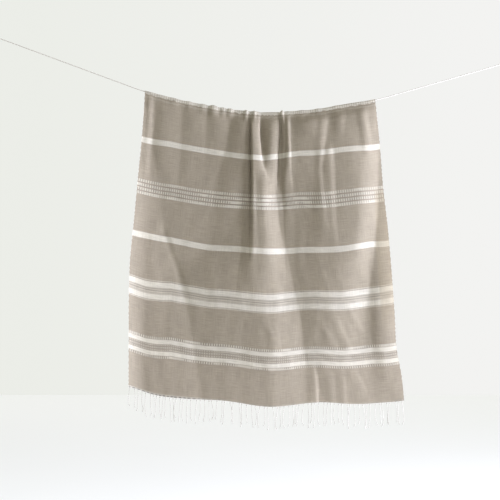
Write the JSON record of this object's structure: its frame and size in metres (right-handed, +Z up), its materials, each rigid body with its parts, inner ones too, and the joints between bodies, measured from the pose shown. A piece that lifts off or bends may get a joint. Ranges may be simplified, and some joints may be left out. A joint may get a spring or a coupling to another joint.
{
  "type": "bath towel hung over a line between wall eyes",
  "caption": "Flat-woven striped bath towel with a knotted fringe at each end, folded over a thin taut line that is tied to a round wall eye at each end.",
  "frame": {"origin": "middle of the left wall eye's plate, on its back face", "axes": "+X along the line from the left wall eye to the right one, -Y towards the towel's front, +Z up"},
  "size_m": [1.7024, 0.1114, 1.2853],
  "materials": {
    "taupe cotton": "matt, thin flat weave with cream stripes",
    "cream cotton": "matt, twisted bundles",
    "cream cord": "matt, twisted",
    "satin steel": "satin"
  },
  "bodies": {
    "root": {"towel": "taupe cotton", "fringe_front": "cream cotton", "fringe_back": "cream cotton", "line": "cream cord", "knot_left": "cream cord", "knot_right": "cream cord", "wall_eye_left": "satin steel", "wall_eye_right": "satin steel"}
  },
  "joints": []
}
